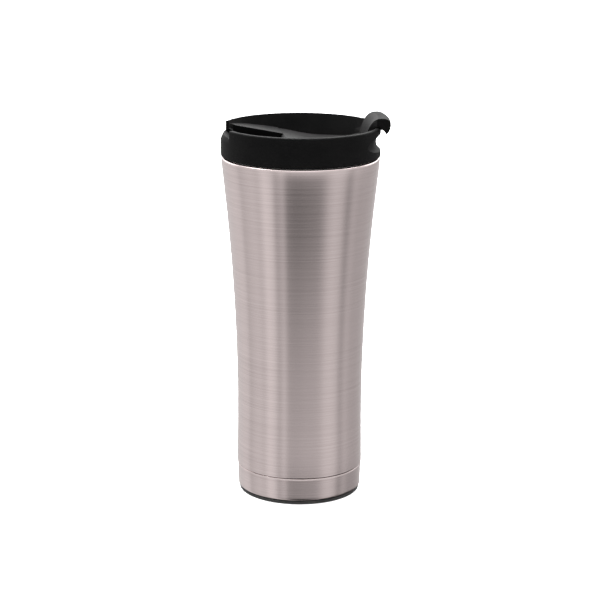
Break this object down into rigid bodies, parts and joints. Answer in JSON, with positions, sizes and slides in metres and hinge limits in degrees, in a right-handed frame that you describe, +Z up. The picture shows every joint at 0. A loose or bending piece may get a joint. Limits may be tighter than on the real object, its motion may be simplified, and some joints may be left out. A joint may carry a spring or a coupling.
{
  "type": "insulated travel mug",
  "caption": "Flared double-walled steel travel mug with a screw-on black lid, a spout and a flip-up cover with a hooked finger tab.",
  "frame": {"origin": "centre of the foot, on the surface the mug stands on", "axes": "+Z up through the mouth, -X towards the spout, +X towards the finger tab"},
  "size_m": [0.0884, 0.0834, 0.2025],
  "materials": {
    "brushed_steel": "fine brushed round the axis",
    "liner_steel": "satin",
    "foil": "bright copper-coloured foil",
    "glass_bead": "fused",
    "getter_metal": "sintered",
    "black_plastic": "fine matt moulded",
    "black_silicone": "matt",
    "foot_rubber": "matt"
  },
  "bodies": {
    "mug": {"outer_shell": "brushed_steel", "inner_liner": "liner_steel", "reflective_foil": "foil", "vacuum_bottom": "liner_steel", "seal_bead": "glass_bead", "getter_pellet": "getter_metal", "getter_bracket": "liner_steel", "base_cup": "brushed_steel", "foot_pad": "foot_rubber"},
    "seal": {"mouth_gasket": "black_silicone"},
    "lid": {"lid_body": "black_plastic", "lid_base": "black_plastic", "well_seal": "black_silicone", "hinge_pin": "liner_steel"},
    "cover": {"flip_cover": "black_plastic", "valve_plug": "black_silicone", "vent_plug": "black_silicone"}
  },
  "joints": [
    {"name": "lid_rise", "type": "slide", "parent": "mug", "child": "seal", "axis": [0, 0, 1], "range_m": [0, 0.019]},
    {"name": "lid_turn", "type": "hinge", "parent": "seal", "child": "lid", "pos_m": [0, 0, 0.1814], "axis": [0, 0, 1], "range_deg": [0, 450]},
    {"name": "cover_flip", "type": "hinge", "parent": "lid", "child": "cover", "pos_m": [-0.0052, 0, 0.1865], "axis": [0, -1, 0], "range_deg": [0, 20]}
  ],
  "couplings": [
    {"joint": "lid_rise", "follows": "lid_turn", "m_per_rad": 0.0023873}
  ]
}
